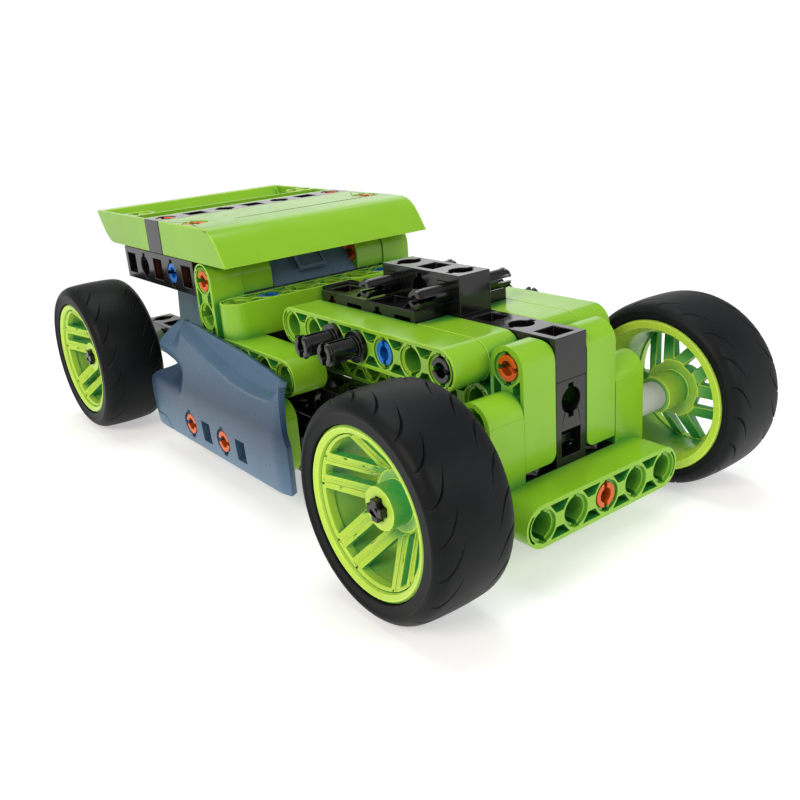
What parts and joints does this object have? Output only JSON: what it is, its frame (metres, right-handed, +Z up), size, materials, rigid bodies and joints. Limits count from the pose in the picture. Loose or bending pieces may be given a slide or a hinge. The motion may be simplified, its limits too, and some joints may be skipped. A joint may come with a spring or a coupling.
{
  "type": "construction kit hot rod car",
  "caption": "Hot rod car from a beam-and-pin construction kit, with fat tyres on spoked rims, open engine, flat roof and side fairings.",
  "frame": {"origin": "on the floor plane, under the middle of the car's box: half-way between the two axles on the middle plane", "axes": "+Z up, -Y to the front bumper, +X to the car's left side"},
  "size_m": [0.11, 0.208, 0.069],
  "materials": {
    "lime_plastic": "glossy injection-moulded lime green",
    "lime_rim_plastic": "glossy injection-moulded lime green, slightly yellower",
    "black_plastic": "glossy injection-moulded black",
    "slate_plastic": "satin moulded slate blue-grey",
    "orange_plastic": "glossy orange",
    "blue_plastic": "glossy blue",
    "pale_grey_plastic": "satin pale grey",
    "tyre_rubber": "matt black rubber"
  },
  "bodies": {
    "root": {"front_fork": "lime_plastic", "bumper_beam": "black_plastic", "grille_post": "black_plastic", "grille_panel_right": "lime_plastic", "grille_panel_left": "lime_plastic", "hood_centre_beam": "black_plastic", "hood_side_beam_right": "lime_plastic", "hood_side_beam_left": "lime_plastic", "hood_panel_right": "lime_plastic", "hood_panel_left": "lime_plastic", "hood_inner_beam_right": "lime_plastic", "hood_inner_beam_left": "lime_plastic", "engine_block": "black_plastic", "engine_side_beam_right": "black_plastic", "engine_side_beam_left": "black_plastic", "engine_pegs": "black_plastic", "exhaust_pegs": "black_plastic", "cowl_beam": "lime_plastic", "cabin_cross_beam": "black_plastic", "windscreen": "slate_plastic", "rear_window": "slate_plastic", "pillar_right": "lime_plastic", "pillar_left": "lime_plastic", "pillar_tube_right": "lime_plastic", "pillar_tube_left": "lime_plastic", "roof_rail_right": "black_plastic", "roof_rail_left": "black_plastic", "roof_front_panel": "lime_plastic", "roof_centre_beam": "black_plastic", "roof_rear_panel": "lime_plastic", "door_beam_right": "lime_plastic", "door_beam_left": "lime_plastic", "door_post_right": "lime_plastic", "door_post_left": "lime_plastic", "side_fairing_right": "slate_plastic", "side_fairing_left": "slate_plastic", "sill_beam_right": "black_plastic", "sill_beam_left": "black_plastic", "chassis_rail_right": "black_plastic", "chassis_rail_left": "black_plastic", "chassis_cross_middle": "black_plastic", "chassis_cross_rear": "black_plastic", "orange_pins": "orange_plastic", "blue_pins": "blue_plastic", "black_pins": "black_plastic"},
    "front_wheels": {"front_axle": "black_plastic", "front_bushes": "pale_grey_plastic", "front_rim_right": "lime_rim_plastic", "front_rim_left": "lime_rim_plastic", "front_tyre_right": "tyre_rubber", "front_tyre_left": "tyre_rubber"},
    "rear_wheels": {"rear_axle": "black_plastic", "rear_bushes": "pale_grey_plastic", "rear_rim_right": "lime_rim_plastic", "rear_rim_left": "lime_rim_plastic", "rear_tyre_right": "tyre_rubber", "rear_tyre_left": "tyre_rubber"}
  },
  "joints": [
    {"name": "front_axle_spin", "type": "hinge", "parent": "root", "child": "front_wheels", "pos_m": [0, -0.08, 0.024], "axis": [1, 0, 0], "continuous": true},
    {"name": "rear_axle_spin", "type": "hinge", "parent": "root", "child": "rear_wheels", "pos_m": [0, 0.08, 0.024], "axis": [1, 0, 0], "continuous": true}
  ]
}
